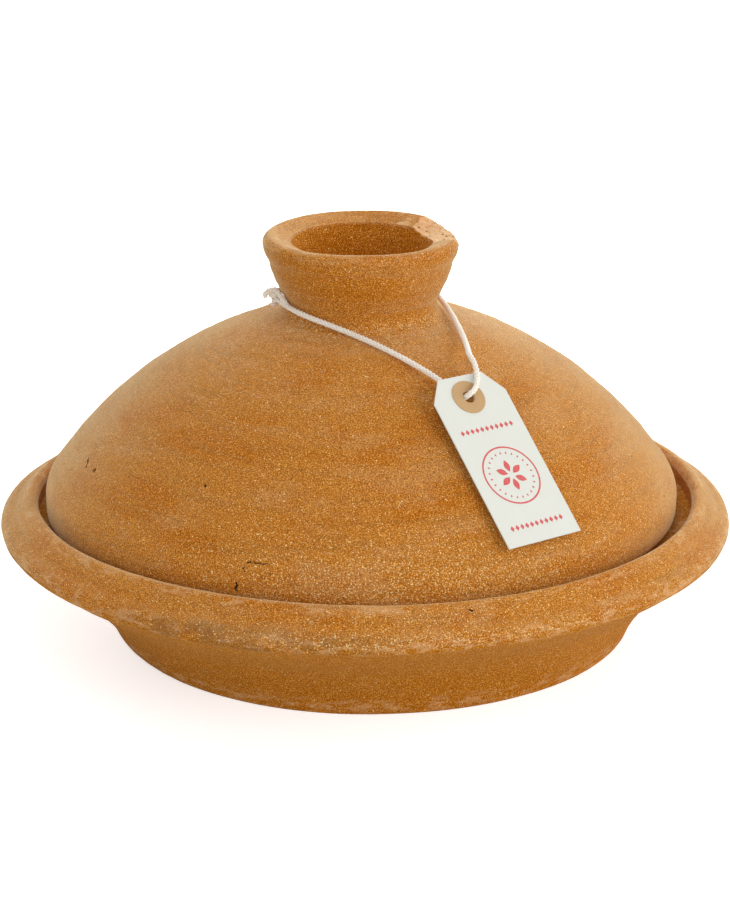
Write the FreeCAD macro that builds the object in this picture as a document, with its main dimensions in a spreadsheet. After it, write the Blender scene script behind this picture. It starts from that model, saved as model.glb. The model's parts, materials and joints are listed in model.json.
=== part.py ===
import FreeCAD, Part
import math
import os
import Sketcher

# A cooking pot of unglazed clay in two fired pieces: a shallow dish with a broad rim, and a domed
# lid whose neck flares into a hollow knob. A card tag hangs on a loop of twine round the lid's neck.
# Z is up, the origin is the middle of the foot, and the pot's wheel-thrown axis is Z. Millimetres.

DIMENSIONS = [
    ("foot_radius", 107.5, "flat foot that the dish stands on"),
    ("foot_rounding", 1, "rounding between foot and wall"),
    ("wall_curve_radius", 69.1, "hollow curve of the dish's outer wall"),
    ("wall_curve_out", 169.7, "centre of that curve, from the axis"),
    ("rim_radius", 150, "outside of the rim"),
    ("rim_nose_radius", 5, "round nose of the rim"),
    ("rim_nose_height", 43.3, "middle of the nose"),
    ("rim_edge_height", 41.4, "sharp lower edge of the rim"),
    ("rim_height", 55.5, "crest of the rim"),
    ("rim_crest_radius", 3, "rounding of the crest"),
    ("gallery_radius", 134.5, "inner face of the rim, round the lid"),
    ("gallery_height", 47, "flat ledge that carries the lid"),
    ("gallery_rounding", 4, "inner edge of the ledge"),
    ("bowl_mouth_radius", 115.5, "inside of the bowl under the ledge"),
    ("bowl_floor_radius", 91, "flat part of the bowl's floor"),
    ("bowl_corner_radius", 20, "rounding between floor and wall"),
    ("bowl_floor_height", 11, "floor of the bowl"),
    ("lid_gap", 0.3, "air between the ledge and the lid, which is not a ground joint"),
    ("lid_radius", 130, "widest part of the lid"),
    ("lid_edge_rounding", 3, "bottom edge of the lid"),
    ("lid_wall", 9, "thickness of the dome"),
    ("shoulder_radius", 16, "turn from the upright edge into the dome"),
    ("dome_radius", 162.7, "curve of the dome"),
    ("dome_centre_across", 6, "centre of the dome's curve, past the axis"),
    ("dome_centre_drop", 29.8, "centre of the dome's curve, below the ground"),
    ("crown_radius", 10, "flat top of the dome's inside"),
    ("crown_rounding", 60, "rounding between that flat and the dome"),
    ("neck_radius", 30.8, "narrowest part of the neck"),
    ("neck_fillet_radius", 6, "hollow between dome and knob"),
    ("knob_side_radius", 120, "slight belly of the flaring knob"),
    ("lip_radius", 39.7, "outside of the knob's lip"),
    ("lip_rounding", 3.4, "rounding of the lip"),
    ("lip_height", 161, "top of the lip"),
    ("opening_radius", 28.7, "mouth of the knob"),
    ("opening_height", 158.3, "sharp inner edge of the lip"),
    ("cup_floor_radius", 15, "flat part of the knob's floor"),
    ("cup_corner_radius", 9, "rounding inside the knob"),
    ("cup_floor_height", 132.5, "floor of the hollow knob"),
    ("tag_width", 35, "card tag"),
    ("tag_length", 73, "card tag"),
    ("tag_thickness", 0.5, "card tag"),
    ("tag_clip_across", 7, "clipped corners, along the top edge"),
    ("tag_clip_down", 9.4, "clipped corners, along the sides"),
    ("eyelet_down", 9.5, "middle of the eyelet, from the top edge"),
    ("eyelet_aside", 0.9, "middle of the eyelet, from the card's middle line"),
    ("eyelet_radius", 2.6, "hole for the twine"),
    ("washer_radius", 7.1, "paper ring stuck round the hole"),
    ("washer_thickness", 0.3, "paper ring"),
    ("tag_bearing", 52.3, "degrees from +X towards -Y to where the card meets the dome"),
    ("tag_lean", 45.9, "degrees between the ground and the card's normal"),
    ("tag_roll", 0.9, "degrees that the card hangs clockwise of straight down"),
    ("tag_gap", 1, "air between card and dome where they are closest"),
    ("tag_aside", 12, "eyelet, sideways from where the card meets the dome"),
    ("tag_upward", 37.3, "eyelet, up the slope from where the card meets the dome"),
    ("twine_diameter", 2, "twisted cotton twine"),
    ("knot_bearing", 12, "degrees from -X towards -Y"),
    ("knot_centre_radius", 35.1, "middle of the knot, from the axis"),
    ("knot_centre_height", 136.7, "middle of the knot"),
    ("knot_tilt", 25, "degrees that the knot leans out with the side of the knob"),
    ("knot_radius", 2.6, "knot, round its long axis"),
    ("knot_length", 7.6, "knot, along its long axis"),
    ("knot_rounding", 2, "ends of the knot"),
    ("upper_end_length", 4.8, "cut end that sticks out of the knot"),
    ("lower_end_length", 5, "cut end that points down"),
]

# The twine leaves the knot downwards, passes the front of the neck and lies on the dome, goes behind
# the card, comes forward through the eyelet, crosses the card's corner and runs behind the neck.
TWINE_ROUTE = [
    (-33.5, -8.8, 135.7),
    (-28.6, -17.2, 134.4),
    (-21.7, -25.8, 133.4),
    (-11.7, -32.2, 131.4),
    (1.8, -40.6, 128.1),
    (13.8, -50.2, 124.8),
    (24.1, -58.4, 121.1),
    (30.2, -65.0, 118.8),
    (34.5, -67.4, 115.2),
    (37.0, -69.0, 113.5),
    (38.9, -70.5, 113.5),
    (40.1, -71.7, 114.6),
    (41.2, -72.2, 115.8),
    (42.6, -71.5, 116.7),
    (43.5, -69.4, 117.2),
    (44.2, -66.5, 118.4),
    (44.3, -62.8, 120.9),
    (43.5, -59.0, 124.1),
    (41.4, -53.9, 126.2),
    (41.5, -44.6, 125.0),
    (40.7, -33.0, 125.7),
    (39.0, -21.2, 127.3),
    (36.9, -9.9, 128.9),
    (34.6, 1.2, 130.2),
    (30.5, 14.9, 132.6),
    (20.7, 26.6, 133.7),
    (5.9, 33.2, 134.1),
    (-9.9, 32.2, 134.1),
    (-23.4, 24.2, 134.3),
    (-31.6, 12.1, 135.0),
    (-34.6, 2.4, 136.2),
    (-34.4, -5.4, 137.1),
]
BEND_SHARE = 0.45  # share of the shorter run that each bend of the twine takes

START, END, CENTRE = 1, 2, 3  # how a sketch numbers the points of a line or an arc
ORIGIN = (-1, 1)  # how a sketch refers to its own origin
FULL_TURN = 360

document = FreeCAD.newDocument("tagine")
sheet = document.addObject("Spreadsheet::Sheet", "sizes")


def fill_sheet():
    for row, (alias, number, meaning) in enumerate(DIMENSIONS, start=1):
        sheet.set(f"A{row}", alias)
        sheet.set(f"B{row}", str(number))
        sheet.set(f"C{row}", meaning)
        sheet.setAlias(f"B{row}", alias)
    document.recompute()


def size(alias):
    return float(sheet.get(alias))


def origin_plane(body, role):
    return next(plane for plane in body.Origin.OriginFeatures if plane.Role == role)


class Outline:
    """A sketch of joined lines and arcs, drawn roughly and then held by constraints."""

    def __init__(self, body, name, role, pieces):
        self.sketch = body.newObject("Sketcher::SketchObject", name)
        self.sketch.AttachmentSupport = [(origin_plane(body, role), "")]
        self.sketch.MapMode = "FlatFace"
        self.ends = []
        for points in pieces:
            self.draw(points)

    def draw(self, points):
        """Two points draw a line. Three draw an arc through the middle one."""
        corners = [FreeCAD.Vector(x, y, 0) for x, y in points]
        if len(corners) == 2:
            self.sketch.addGeometry(Part.LineSegment(*corners))
            self.ends.append((START, END))
            return
        turn = (corners[1] - corners[0]).cross(corners[2] - corners[1]).z
        if turn > 0:
            self.sketch.addGeometry(Part.Arc(*corners))
            self.ends.append((START, END))
        else:
            self.sketch.addGeometry(Part.Arc(*reversed(corners)))
            self.ends.append((END, START))

    def join(self, sharp):
        """Join each piece to the next: sharply after the pieces in sharp, and smoothly elsewhere."""
        for piece, (_, leave) in enumerate(self.ends):
            following = (piece + 1) % len(self.ends)
            kind = "Coincident" if piece in sharp else "Tangent"
            enter = self.ends[following][0]
            self.sketch.addConstraint(Sketcher.Constraint(kind, piece, leave, following, enter))

    def level(self, *pieces):
        for piece in pieces:
            self.sketch.addConstraint(Sketcher.Constraint("Horizontal", piece))

    def upright(self, *pieces):
        for piece in pieces:
            self.sketch.addConstraint(Sketcher.Constraint("Vertical", piece))

    def on_origin(self, piece):
        self.sketch.addConstraint(Sketcher.Constraint("Coincident", piece, self.ends[piece][0], *ORIGIN))

    def on_axis(self, piece):
        """Put the beginning of a piece on the sketch's upright axis."""
        self.sketch.addConstraint(Sketcher.Constraint("PointOnObject", piece, self.ends[piece][0], -2))

    def bind(self, kind, where, expression):
        """Add one dimension whose value the sheet gives."""
        value = self.sketch.evalExpression(expression)
        index = self.sketch.addConstraint(Sketcher.Constraint(kind, *where, value))
        self.sketch.setExpression(f"Constraints[{index}]", expression)

    def radius(self, piece, expression):
        self.bind("Radius", (piece,), expression)

    def out(self, piece, point, expression):
        self.bind("DistanceX", (*ORIGIN, piece, point), expression)

    def up(self, piece, point, expression):
        self.bind("DistanceY", (*ORIGIN, piece, point), expression)

    def across(self, piece, point, expression):
        """A distance to the far side of the axis."""
        self.bind("DistanceX", (piece, point, *ORIGIN), expression)

    def down(self, piece, point, expression):
        """A distance below the origin."""
        self.bind("DistanceY", (piece, point, *ORIGIN), expression)

    def finish(self):
        document.recompute()
        if not self.sketch.FullyConstrained:
            raise RuntimeError(f"{self.sketch.Name} is not fully constrained")
        return self.sketch


def turn_on_axis(body, kind, sketch):
    """Turn a half-section right round the sketch's upright axis, adding or cutting."""
    before = body.Shape.Volume if kind == "PartDesign::Groove" else 0
    feature = body.newObject(kind, f"turned_{sketch.Name}")
    feature.Profile = sketch
    feature.ReferenceAxis = (sketch, ["V_Axis"])
    feature.Angle = FULL_TURN
    document.recompute()
    if kind == "PartDesign::Groove" and body.Shape.Volume >= before:
        raise RuntimeError(f"{feature.Name} cuts nothing")


def make_base_dish():
    body = document.addObject("PartDesign::Body", "base_dish")
    outline = Outline(body, "dish_section", "XZ_Plane", [
        [(0, 0), (103.5, 0)],                           # 0 foot
        [(103.5, 0), (106.2, 1.2), (107, 3.2)],         # 1 rounding
        [(107, 3.2), (119, 19), (137, 33)],             # 2 hollow wall
        [(137, 33), (149, 40.4)],                       # 3 underside of the rim
        [(149, 40.4), (150, 43.3), (148.3, 47)],        # 4 nose
        [(148.3, 47), (139.5, 54.8)],                   # 5 sloping band
        [(139.5, 54.8), (136.5, 55.3), (134.5, 52.5)],  # 6 crest
        [(134.5, 52.5), (134.5, 47)],                   # 7 inner face of the rim
        [(134.5, 47), (119.5, 47)],                     # 8 ledge
        [(119.5, 47), (116.6, 45.7), (115.6, 43)],      # 9 edge of the ledge
        [(115.6, 43), (111, 30)],                       # 10 inside of the bowl
        [(111, 30), (103, 15), (91, 11)],               # 11 corner
        [(91, 11), (0, 11)],                            # 12 floor
        [(0, 11), (0, 0)],                              # 13 axis
    ])
    outline.join(sharp=[3, 7, 12, 13])
    outline.level(0, 8, 12)
    outline.upright(7, 13)
    outline.on_origin(0)
    outline.radius(1, "sizes.foot_rounding")
    outline.out(1, CENTRE, "sizes.foot_radius - sizes.foot_rounding")
    outline.radius(2, "sizes.wall_curve_radius")
    outline.out(2, CENTRE, "sizes.wall_curve_out")
    outline.up(3, END, "sizes.rim_edge_height")
    outline.radius(4, "sizes.rim_nose_radius")
    outline.out(4, CENTRE, "sizes.rim_radius - sizes.rim_nose_radius")
    outline.up(4, CENTRE, "sizes.rim_nose_height")
    outline.radius(6, "sizes.rim_crest_radius")
    outline.up(6, CENTRE, "sizes.rim_height - sizes.rim_crest_radius")
    outline.out(7, START, "sizes.gallery_radius")
    outline.up(8, START, "sizes.gallery_height")
    outline.radius(9, "sizes.gallery_rounding")
    outline.out(9, CENTRE, "sizes.bowl_mouth_radius + sizes.gallery_rounding")
    outline.radius(11, "sizes.bowl_corner_radius")
    outline.out(11, CENTRE, "sizes.bowl_floor_radius")
    outline.up(12, START, "sizes.bowl_floor_height")
    turn_on_axis(body, "PartDesign::Revolution", outline.finish())
    return body


def draw_lid_outside(body):
    outline = Outline(body, "lid_section", "XZ_Plane", [
        [(0, 47.3), (127, 47.3)],                              # 0 bottom
        [(127, 47.3), (129.1, 48.2), (130, 50.3)],             # 1 rounding
        [(130, 50.3), (130, 54.6)],                            # 2 upright edge
        [(130, 54.6), (129.3, 59.4), (127.1, 63.8)],           # 3 shoulder
        [(127.1, 63.8), (89.4, 102), (38.3, 126.9)],           # 4 dome
        [(38.3, 126.9), (32.3, 129.4), (31, 135)],             # 5 hollow of the neck
        [(31, 135), (35.5, 145), (39.4, 155)],                 # 6 side of the knob
        [(39.4, 155), (39, 158.7), (35.6, 159.9)],             # 7 lip
        [(35.6, 159.9), (28.7, 158.3)],                        # 8 top of the lip
        [(28.7, 158.3), (0, 158.3)],                           # 9 mouth, cut out later
        [(0, 158.3), (0, 47.3)],                               # 10 axis
    ])
    outline.join(sharp=[8, 9, 10])
    outline.level(0, 9)
    outline.upright(2, 10)
    outline.on_axis(0)
    outline.up(0, START, "sizes.gallery_height + sizes.lid_gap")
    outline.radius(1, "sizes.lid_edge_rounding")
    outline.out(2, START, "sizes.lid_radius")
    outline.radius(3, "sizes.shoulder_radius")
    outline.radius(4, "sizes.dome_radius")
    outline.across(4, CENTRE, "sizes.dome_centre_across")
    outline.down(4, CENTRE, "sizes.dome_centre_drop")
    outline.radius(5, "sizes.neck_fillet_radius")
    outline.out(5, CENTRE, "sizes.neck_radius + sizes.neck_fillet_radius")
    outline.radius(6, "sizes.knob_side_radius")
    outline.radius(7, "sizes.lip_rounding")
    outline.out(7, CENTRE, "sizes.lip_radius - sizes.lip_rounding")
    outline.up(7, CENTRE, "sizes.lip_height - sizes.lip_rounding")
    outline.out(9, START, "sizes.opening_radius")
    outline.up(9, START, "sizes.opening_height")
    return outline.finish()


def draw_lid_hollow(body):
    outline = Outline(body, "lid_hollow", "XZ_Plane", [
        [(0, 40), (121, 40)],                                  # 0 below the bottom edge
        [(121, 40), (121, 54.6)],                              # 1 inside of the upright edge
        [(121, 54.6), (120.7, 56.8), (119.7, 58.6)],           # 2 inside of the shoulder
        [(119.7, 58.6), (84.3, 94), (20.2, 121.6)],            # 3 inside of the dome
        [(20.2, 121.6), (15, 122.3), (10, 122.5)],             # 4 rounding of the crown
        [(10, 122.5), (0, 122.5)],                             # 5 crown
        [(0, 122.5), (0, 40)],                                 # 6 axis
    ])
    outline.join(sharp=[0, 5, 6])
    outline.level(0, 5)
    outline.upright(1, 6)
    outline.on_axis(0)
    outline.radius(4, "sizes.crown_rounding")
    outline.out(4, CENTRE, "sizes.crown_radius")
    outline.up(0, START, "sizes.gallery_height - sizes.lid_wall")
    outline.out(1, START, "sizes.lid_radius - sizes.lid_wall")
    outline.radius(2, "sizes.shoulder_radius - sizes.lid_wall")
    outline.radius(3, "sizes.dome_radius - sizes.lid_wall")
    outline.across(3, CENTRE, "sizes.dome_centre_across")
    outline.down(3, CENTRE, "sizes.dome_centre_drop")
    return outline.finish()


def draw_knob_hollow(body):
    outline = Outline(body, "knob_hollow", "XZ_Plane", [
        [(0, 132.5), (15, 132.5)],                             # 0 floor
        [(15, 132.5), (21.5, 135.3), (24, 140.5)],             # 1 corner
        [(24, 140.5), (28.7, 158.3)],                          # 2 side
        [(28.7, 158.3), (28.7, 170)],                          # 3 clear of the lip
        [(28.7, 170), (0, 170)],                               # 4 above the lip
        [(0, 170), (0, 132.5)],                                # 5 axis
    ])
    outline.join(sharp=[2, 3, 4, 5])
    outline.level(0, 4)
    outline.upright(3, 5)
    outline.on_axis(0)
    outline.up(0, START, "sizes.cup_floor_height")
    outline.radius(1, "sizes.cup_corner_radius")
    outline.out(1, CENTRE, "sizes.cup_floor_radius")
    outline.out(3, START, "sizes.opening_radius")
    outline.up(3, START, "sizes.opening_height")
    outline.up(3, END, "sizes.lip_height + sizes.lid_wall")
    return outline.finish()


def make_lid():
    body = document.addObject("PartDesign::Body", "lid")
    turn_on_axis(body, "PartDesign::Revolution", draw_lid_outside(body))
    turn_on_axis(body, "PartDesign::Groove", draw_lid_hollow(body))
    turn_on_axis(body, "PartDesign::Groove", draw_knob_hollow(body))
    return body


def pad(body, sketch, thickness):
    feature = body.newObject("PartDesign::Pad", f"{body.Name}_pad")
    feature.Profile = sketch
    feature.setExpression("Length", thickness)
    document.recompute()


def add_circle(outline, expression):
    """A circle round the sketch's origin."""
    rough = Part.Circle(FreeCAD.Vector(0, 0, 0), FreeCAD.Vector(0, 0, 1), 3)
    circle = outline.sketch.addGeometry(rough)
    outline.sketch.addConstraint(Sketcher.Constraint("Coincident", circle, CENTRE, *ORIGIN))
    outline.radius(circle, expression)


def tag_placement(lift=0.0):
    """The eyelet's place: Z along the card's normal, Y up the slope, and lift above the card's back."""
    bearing = -math.radians(size("tag_bearing"))
    lean = math.radians(size("tag_lean"))
    roll = -math.radians(size("tag_roll"))
    outward = FreeCAD.Vector(math.cos(bearing), math.sin(bearing), 0)
    upward = FreeCAD.Vector(0, 0, 1)
    sideways = upward.cross(outward)
    normal = outward * math.cos(lean) + upward * math.sin(lean)
    slope = normal.cross(sideways)
    dome_centre = outward * -size("dome_centre_across") - upward * size("dome_centre_drop")
    touch = dome_centre + normal * (size("dome_radius") + size("tag_gap"))
    card_x = sideways * math.cos(roll) + slope * math.sin(roll)
    card_y = slope * math.cos(roll) - sideways * math.sin(roll)
    eyelet = touch - card_x * size("tag_aside") + card_y * size("tag_upward")
    turned = FreeCAD.Rotation(card_x, card_y, normal, "ZXY")
    return FreeCAD.Placement(eyelet + normal * lift, turned)


def make_tag_card():
    body = document.addObject("PartDesign::Body", "tag_card")
    outline = Outline(body, "card_outline", "XY_Plane", [
        [(-16.6, -63.5), (18.4, -63.5)],   # 0 bottom
        [(18.4, -63.5), (18.4, 0.1)],      # 1 right side
        [(18.4, 0.1), (11.4, 9.5)],        # 2 right clipped corner
        [(11.4, 9.5), (-9.6, 9.5)],        # 3 top
        [(-9.6, 9.5), (-16.6, 0.1)],       # 4 left clipped corner
        [(-16.6, 0.1), (-16.6, -63.5)],    # 5 left side
    ])
    outline.join(sharp=range(6))
    outline.level(0, 3)
    outline.upright(1, 5)
    half_width = "sizes.tag_width / 2"
    outline.across(0, START, f"{half_width} - sizes.eyelet_aside")
    outline.out(0, END, f"{half_width} + sizes.eyelet_aside")
    outline.down(0, START, "sizes.tag_length - sizes.eyelet_down")
    outline.up(3, START, "sizes.eyelet_down")
    outline.up(2, START, "sizes.eyelet_down - sizes.tag_clip_down")
    outline.up(4, END, "sizes.eyelet_down - sizes.tag_clip_down")
    outline.out(3, START, f"{half_width} + sizes.eyelet_aside - sizes.tag_clip_across")
    outline.across(3, END, f"{half_width} - sizes.eyelet_aside - sizes.tag_clip_across")
    add_circle(outline, "sizes.eyelet_radius")
    pad(body, outline.finish(), "sizes.tag_thickness")
    body.Placement = tag_placement()
    return body


def make_washer(name, lift):
    body = document.addObject("PartDesign::Body", name)
    outline = Outline(body, f"{name}_outline", "XY_Plane", [])
    add_circle(outline, "sizes.eyelet_radius")
    add_circle(outline, "sizes.washer_radius")
    pad(body, outline.finish(), "sizes.washer_thickness")
    body.Placement = tag_placement(lift)
    return body


def twine_path():
    """Straight runs joined by arcs that touch both runs, and the radius of each arc."""
    corners = [FreeCAD.Vector(*point) for point in TWINE_ROUTE]
    edges = []
    radii = []
    start = corners[0]
    for before, corner, after in zip(corners, corners[1:], corners[2:]):
        arriving = (corner - before).normalize()
        leaving = (after - corner).normalize()
        half_turn = arriving.getAngle(leaving) / 2
        reach = BEND_SHARE * min(before.distanceToPoint(corner), corner.distanceToPoint(after))
        radius = reach / math.tan(half_turn)
        inward = (leaving - arriving).normalize()
        middle = corner + inward * (radius / math.cos(half_turn) - radius)
        enter = corner - arriving * reach
        leave = corner + leaving * reach
        edges.append(Part.LineSegment(start, enter).toShape())
        edges.append(Part.Arc(enter, middle, leave).toShape())
        radii.append(radius)
        start = leave
    edges.append(Part.LineSegment(start, corners[-1]).toShape())
    return Part.Wire(edges), radii


def make_tag_string():
    wire, radii = twine_path()
    print("twine bend radii", " ".join(f"{radius:.1f}" for radius in radii))
    path = document.addObject("Part::Feature", "twine_path")
    path.Shape = wire
    section = document.addObject("Part::Circle", "twine_section")
    section.setExpression("Radius", "sizes.twine_diameter / 2")
    start, second = (FreeCAD.Vector(*point) for point in TWINE_ROUTE[:2])
    facing = FreeCAD.Rotation(FreeCAD.Vector(0, 0, 1), second - start)
    section.Placement = FreeCAD.Placement(start, facing)
    sweep = document.addObject("Part::Sweep", "tag_string")
    sweep.Sections = [section]
    sweep.Spine = (path, [])
    sweep.Solid = True
    document.recompute()
    expected = math.pi * (size("twine_diameter") / 2) ** 2 * wire.Length
    print(f"twine length {wire.Length:.1f}, volume {sweep.Shape.Volume:.1f}, expected {expected:.1f}")
    return sweep


def knot_end(name, length, lift, direction, knot):
    """One cut end of the twine, which leaves the knot in a direction of the knot's own frame."""
    end = document.addObject("Part::Cylinder", name)
    end.setExpression("Radius", "sizes.twine_diameter * 0.42")
    end.setExpression("Height", length)
    facing = FreeCAD.Rotation(FreeCAD.Vector(0, 0, 1), FreeCAD.Vector(*direction))
    place = FreeCAD.Placement(FreeCAD.Vector(0, 0, lift), facing)
    end.Placement = knot.multiply(place)
    return end


def make_knot_core():
    """The knot as a rounded barrel round its own long axis."""
    body = document.addObject("PartDesign::Body", "knot_core")
    outline = Outline(body, "knot_section", "XZ_Plane", [
        [(0, -3.8), (0.6, -3.8)],                # 0 lower end
        [(0.6, -3.8), (2, -3.2), (2.6, -1.8)],   # 1 rounding
        [(2.6, -1.8), (2.6, 1.8)],               # 2 side
        [(2.6, 1.8), (2, 3.2), (0.6, 3.8)],      # 3 rounding
        [(0.6, 3.8), (0, 3.8)],                  # 4 upper end
        [(0, 3.8), (0, -3.8)],                   # 5 axis
    ])
    outline.join(sharp=[4, 5])
    outline.level(0, 4)
    outline.upright(2, 5)
    outline.on_axis(0)
    outline.down(0, START, "sizes.knot_length / 2")
    outline.up(4, START, "sizes.knot_length / 2")
    outline.out(2, START, "sizes.knot_radius")
    outline.radius(1, "sizes.knot_rounding")
    outline.radius(3, "sizes.knot_rounding")
    turn_on_axis(body, "PartDesign::Revolution", outline.finish())
    return body


def make_string_knot():
    """The knot lies against the neck with its own X pointing away from the pot."""
    upward = FreeCAD.Vector(0, 0, 1)
    round_neck = FreeCAD.Rotation(upward, 180 + size("knot_bearing"))
    centre = FreeCAD.Vector(size("knot_centre_radius"), 0, size("knot_centre_height"))
    lean = FreeCAD.Rotation(FreeCAD.Vector(0, 1, 0), size("knot_tilt"))
    knot = FreeCAD.Placement(round_neck.multVec(centre), round_neck.multiply(lean))
    core = make_knot_core()
    core.Placement = knot
    upper = knot_end("upper_end", "sizes.upper_end_length", 1.6, (1, -0.2, -0.3), knot)
    lower = knot_end("lower_end", "sizes.lower_end_length", -1, (0.2, -0.3, -1), knot)
    whole = document.addObject("Part::MultiFuse", "string_knot")
    whole.Shapes = [core, upper, lower]
    document.recompute()
    return whole


def check_document():
    for item in document.Objects:
        if "Invalid" in item.State or "Error" in item.State:
            raise RuntimeError(f"{item.Name} failed: {item.State}")


def write_step(part):
    part.Label = part.Name
    shape = part.Shape
    if shape.isNull() or not shape.isValid():
        raise RuntimeError(f"{part.Name} has no valid shape")
    print(part.Name, "solids", len(shape.Solids), "volume", round(shape.Volume, 1))
    shape.exportStep(f"parts/{part.Name}.step")


def main():
    fill_sheet()
    os.makedirs("parts", exist_ok=True)
    parts = [
        make_base_dish(),
        make_lid(),
        make_tag_card(),
        make_washer("tag_washer_front", size("tag_thickness")),
        make_washer("tag_washer_back", -size("washer_thickness")),
        make_tag_string(),
        make_string_knot(),
    ]
    document.recompute()
    check_document()
    for part in parts:
        write_step(part)


main()
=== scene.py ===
import json
import math
import random

import bmesh
import bpy
import numpy as np
from mathutils import Matrix, Vector, noise


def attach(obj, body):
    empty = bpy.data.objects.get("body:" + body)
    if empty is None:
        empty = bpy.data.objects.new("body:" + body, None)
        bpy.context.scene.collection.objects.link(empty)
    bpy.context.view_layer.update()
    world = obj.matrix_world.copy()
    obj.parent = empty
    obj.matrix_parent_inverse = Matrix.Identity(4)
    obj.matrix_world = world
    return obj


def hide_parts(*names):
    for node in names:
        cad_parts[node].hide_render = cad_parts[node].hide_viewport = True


# A clay tagine with a card tag on a loop of twine. Lengths are in millimetres in the outlines and
# routes, and MM turns them into metres. Angles round the pot are in degrees from +X towards +Y.
MM = 0.001

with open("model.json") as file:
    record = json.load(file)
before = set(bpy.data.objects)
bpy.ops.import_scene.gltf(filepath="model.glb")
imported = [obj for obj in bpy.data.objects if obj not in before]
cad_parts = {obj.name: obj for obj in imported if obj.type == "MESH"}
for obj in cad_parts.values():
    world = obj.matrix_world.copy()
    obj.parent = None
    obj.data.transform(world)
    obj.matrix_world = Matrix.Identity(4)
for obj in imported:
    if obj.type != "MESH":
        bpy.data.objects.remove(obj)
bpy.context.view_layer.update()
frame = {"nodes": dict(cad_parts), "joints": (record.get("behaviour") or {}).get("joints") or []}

# ---------------------------------------------------------------- sizes, as the CAD model has them
LID_WALL = 9
LID_RADIUS = 130
LID_BOTTOM = 47.3
SHOULDER_RADIUS = 16
SHOULDER_HEIGHT = 54.6
DOME_RADIUS = 162.7
DOME_CENTRE = (-6, -29.8)
CROWN_ROUNDING = 60
CROWN_CENTRE = (10, 62.5)
HOLLOW_TOP = CROWN_CENTRE[1] + CROWN_ROUNDING
NECK_FILLET = 6
NECK_CENTRE = (36.8, 133.4)
LIP_CENTRE = (36.3, 157.6)
LIP_ROUNDING = 3.4
OPENING = (28.7, 158.3)
CUP_FLOOR_HEIGHT = 132.5
CUP_CORNER = 9
CUP_CENTRE = (15, 141.5)

FOOT_RADIUS = 107.5
FOOT_ROUNDING = 1
WALL_RADIUS = 68.5
WALL_CENTRE = (169.7, -27.9)
RIM_EDGE = (149.5, 41.4)
NOSE_ROUNDING = 5
NOSE_CENTRE = (145, 43.3)
CREST_ROUNDING = 3
CREST_CENTRE = (137.5, 52.5)
GALLERY_RADIUS = 134.5
GALLERY_HEIGHT = 47
LEDGE_EDGE_ROUNDING = 4
LEDGE_EDGE_CENTRE = (119.5, 43)
BOWL_CORNER = 20
BOWL_CENTRE = (91, 31)
BOWL_TOP = (115.6, 43)
FLOOR_THICKNESS = 11

# The dish was trimmed a little off its rim's axis, and the rim sits a little off the lid's.
RIM_SHIFT = Vector((1.4, 0, 0))
FOOT_SHIFT = Vector((4.4, -3.0, 0))

TWINE_ROUTE = [
    (-33.5, -8.8, 135.7),
    (-28.6, -17.2, 134.4),
    (-21.7, -25.8, 133.4),
    (-11.7, -32.2, 131.4),
    (1.8, -40.6, 128.1),
    (13.8, -50.2, 124.8),
    (24.1, -58.4, 121.1),
    (30.2, -65.0, 118.8),
    (34.5, -67.4, 115.2),
    (37.0, -69.0, 113.5),
    (38.9, -70.5, 113.5),
    (40.1, -71.7, 114.6),
    (41.2, -72.2, 115.8),
    (42.6, -71.5, 116.7),
    (43.5, -69.4, 117.2),
    (44.2, -66.5, 118.4),
    (44.3, -62.8, 120.9),
    (43.5, -59.0, 124.1),
    (41.4, -53.9, 126.2),
    (41.5, -44.6, 125.0),
    (40.7, -33.0, 125.7),
    (39.0, -21.2, 127.3),
    (36.9, -9.9, 128.9),
    (34.6, 1.2, 130.2),
    (30.5, 14.9, 132.6),
    (20.7, 26.6, 133.7),
    (5.9, 33.2, 134.1),
    (-9.9, 32.2, 134.1),
    (-23.4, 24.2, 134.3),
    (-31.6, 12.1, 135.0),
    (-34.6, 2.4, 136.2),
    (-34.4, -5.4, 137.1),
]


# ---------------------------------------------------------------- outlines
def line(start, end, step):
    """Points along a straight line, without its end."""
    count = max(1, round(math.dist(start, end) / step))
    return [tuple(np.add(start, np.subtract(end, start) * i / count)) for i in range(count)]


def arc(centre, radius, start, end, step):
    """Points along an arc from one angle in degrees to another, without its end."""
    count = max(2, round(math.radians(abs(end - start)) * radius / step))
    angles = [math.radians(start + (end - start) * i / count) for i in range(count)]
    return [(centre[0] + radius * math.cos(a), centre[1] + radius * math.sin(a)) for a in angles]


def on_arc(centre, radius, angle):
    """The point on a circle at an angle in degrees."""
    return arc(centre, radius, angle, angle, 1)[0]


def heading(start, end):
    """The angle in degrees from one point to another."""
    return math.degrees(math.atan2(end[1] - start[1], end[0] - start[0]))


def tangent_angle(centre, radius, point, side):
    """Where a line from a point outside a circle touches it: side is 1 or -1."""
    reach = math.degrees(math.acos(radius / math.dist(centre, point)))
    return heading(centre, point) + side * reach


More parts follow.
